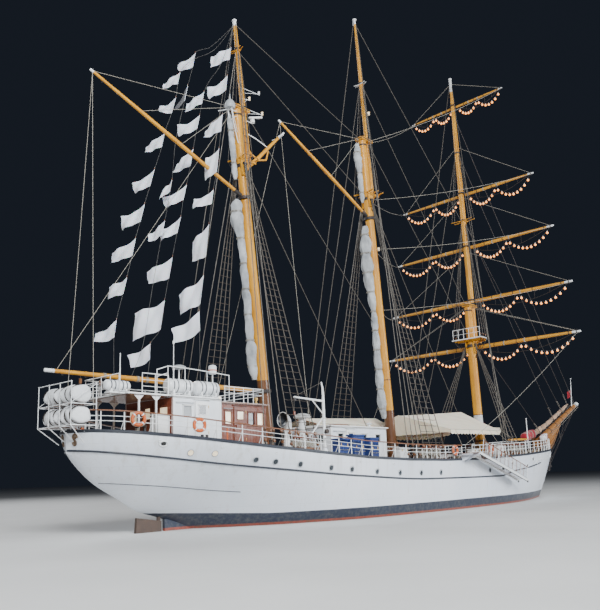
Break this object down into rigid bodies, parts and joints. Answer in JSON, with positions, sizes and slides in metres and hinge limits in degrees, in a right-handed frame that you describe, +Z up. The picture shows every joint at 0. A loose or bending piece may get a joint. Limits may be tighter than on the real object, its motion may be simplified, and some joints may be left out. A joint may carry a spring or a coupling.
{
  "type": "scale model 1:2 of a three-masted barquentine training ship",
  "caption": "White-hulled barquentine, square yards on the fore mast, gaffs on main and mizzen, with turning yards, boom, gaffs, rudder, propeller, doors, davit and gangway.",
  "frame": {"origin": "on the centreline at the waterline, 25 m of real ship (12.5 m of model) forward of the stern", "axes": "+X towards the bow, +Y to port, +Z up"},
  "size_m": [29.203, 8.97, 20.8021],
  "materials": {
    "hull_paint": "semi-gloss white topsides, navy boot top, red below",
    "underwater_paint": "matt",
    "bronze": "satin",
    "white_paint": "semi-gloss",
    "varnished_wood": "gloss varnish",
    "spar_paint": "gloss",
    "canvas": "matt",
    "white_plastic": "gloss",
    "wire": "weathered",
    "steel": "painted"
  },
  "bodies": {
    "ship": {"hull": "hull_paint", "aft_deckhouse_walls": "white_paint", "aft_deckhouse_roof": "white_paint", "wheelhouse_walls": "varnished_wood", "wheelhouse_roof": "white_paint", "midship_house_walls": "white_paint", "midship_house_roof": "white_paint", "mizzen_lower_mast": "spar_paint", "mizzen_topmast": "spar_paint", "main_lower_mast": "spar_paint", "main_topmast": "spar_paint", "fore_lower_mast": "spar_paint", "fore_topmast": "spar_paint", "bowsprit": "spar_paint", "railing_starboard_aft": "white_paint", "railing_starboard_forward": "white_paint", "railing_port": "white_paint", "mizzen_shrouds_port": "wire", "mizzen_shrouds_starboard": "wire", "main_shrouds_port": "wire", "main_shrouds_starboard": "wire", "fore_shrouds_port": "wire", "fore_shrouds_starboard": "wire", "main_stay": "wire", "mizzen_stay": "wire", "stern_rack": "white_paint", "lower_bundles": "canvas", "upper_bundles": "canvas", "raft_canister_aft": "white_plastic", "raft_canister_forward": "white_plastic", "quarter_canister": "white_plastic", "boat_deck": "white_paint", "house_top_rail": "white_paint", "mizzen_sail": "canvas", "mizzen_topsail": "canvas", "main_sail": "canvas", "main_topsail": "canvas", "head_sails": "canvas", "awning": "canvas", "windlass": "steel", "cowl_vent_port": "white_paint", "cowl_vent_starboard": "white_paint", "skylight": "varnished_wood", "anchor_port": "steel", "anchor_starboard": "steel"},
    "rudder": {"rudder": "underwater_paint"},
    "propeller": {"propeller": "bronze"},
    "aft_door": {"aft_deckhouse_door": "white_paint"},
    "wheelhouse_door": {"wheelhouse_door": "varnished_wood"},
    "midship_door": {"midship_house_door": "white_paint"},
    "course_yard": {"course_yard": "spar_paint"},
    "lower_topsail_yard": {"lower_topsail_yard": "spar_paint"},
    "upper_topsail_yard": {"upper_topsail_yard": "spar_paint"},
    "topgallant_yard": {"topgallant_yard": "spar_paint"},
    "royal_yard": {"royal_yard": "spar_paint"},
    "mizzen_boom": {"mizzen_boom": "spar_paint"},
    "mizzen_gaff": {"mizzen_gaff": "spar_paint"},
    "main_gaff": {"main_gaff": "spar_paint"},
    "davit": {"davit": "white_paint"},
    "gangway": {"gangway": "white_paint"}
  },
  "joints": [
    {"name": "rudder_turn", "type": "hinge", "parent": "ship", "child": "rudder", "pos_m": [-10, 0, -1], "axis": [0, 0, 1], "range_deg": [-35, 35]},
    {"name": "propeller_spin", "type": "hinge", "parent": "ship", "child": "propeller", "pos_m": [-9.525, 0, -1.15], "axis": [1, 0, 0], "continuous": true},
    {"name": "aft_door_swing", "type": "hinge", "parent": "ship", "child": "aft_door", "pos_m": [-9.23, -1.0205, 2.7], "axis": [0, 0, 1], "range_deg": [0, 110]},
    {"name": "wheelhouse_door_swing", "type": "hinge", "parent": "ship", "child": "wheelhouse_door", "pos_m": [-7.93, -0.9705, 2.6], "axis": [0, 0, 1], "range_deg": [0, 110]},
    {"name": "midship_door_swing", "type": "hinge", "parent": "ship", "child": "midship_door", "pos_m": [-3.43, -0.9705, 2.2], "axis": [0, 0, 1], "range_deg": [0, 110]},
    {"name": "course_yard_brace", "type": "hinge", "parent": "ship", "child": "course_yard", "pos_m": [5.8482, 0, 6.365], "axis": [-0.0405, 0, 0.9992], "range_deg": [-30, 30]},
    {"name": "lower_topsail_yard_brace", "type": "hinge", "parent": "ship", "child": "lower_topsail_yard", "pos_m": [6.1046, 0, 8.43], "axis": [-0.0405, 0, 0.9992], "range_deg": [-30, 30]},
    {"name": "upper_topsail_yard_brace", "type": "hinge", "parent": "ship", "child": "upper_topsail_yard", "pos_m": [6.0078, 0, 10.82], "axis": [-0.0405, 0, 0.9992], "range_deg": [-30, 30]},
    {"name": "topgallant_yard_brace", "type": "hinge", "parent": "ship", "child": "topgallant_yard", "pos_m": [5.9104, 0, 13.225], "axis": [-0.0405, 0, 0.9992], "range_deg": [-30, 30]},
    {"name": "royal_yard_brace", "type": "hinge", "parent": "ship", "child": "royal_yard", "pos_m": [5.7433, 0, 17.35], "axis": [-0.0405, 0, 0.9992], "range_deg": [-30, 30]},
    {"name": "mizzen_boom_swing", "type": "hinge", "parent": "ship", "child": "mizzen_boom", "pos_m": [-6.3414, 0, 3.68], "axis": [-0.1044, 0, 0.9945], "range_deg": [-42, 21]},
    {"name": "mizzen_gaff_swing", "type": "hinge", "parent": "ship", "child": "mizzen_gaff", "pos_m": [-6.94725, 0, 9.45], "axis": [-0.1044, 0, 0.9945], "range_deg": [-40, 40]},
    {"name": "main_gaff_swing", "type": "hinge", "parent": "ship", "child": "main_gaff", "pos_m": [-0.828, 0, 10.35], "axis": [-0.0797, 0, 0.9968], "range_deg": [-40, 40]},
    {"name": "davit_slew", "type": "hinge", "parent": "ship", "child": "davit", "pos_m": [-6.06, -2.05, 2], "axis": [0, 0, 1], "range_deg": [0, 120]},
    {"name": "gangway_tilt", "type": "hinge", "parent": "ship", "child": "gangway", "pos_m": [0.875, -2.67, 1.81], "axis": [0, 1, 0], "range_deg": [-16, 6]}
  ]
}
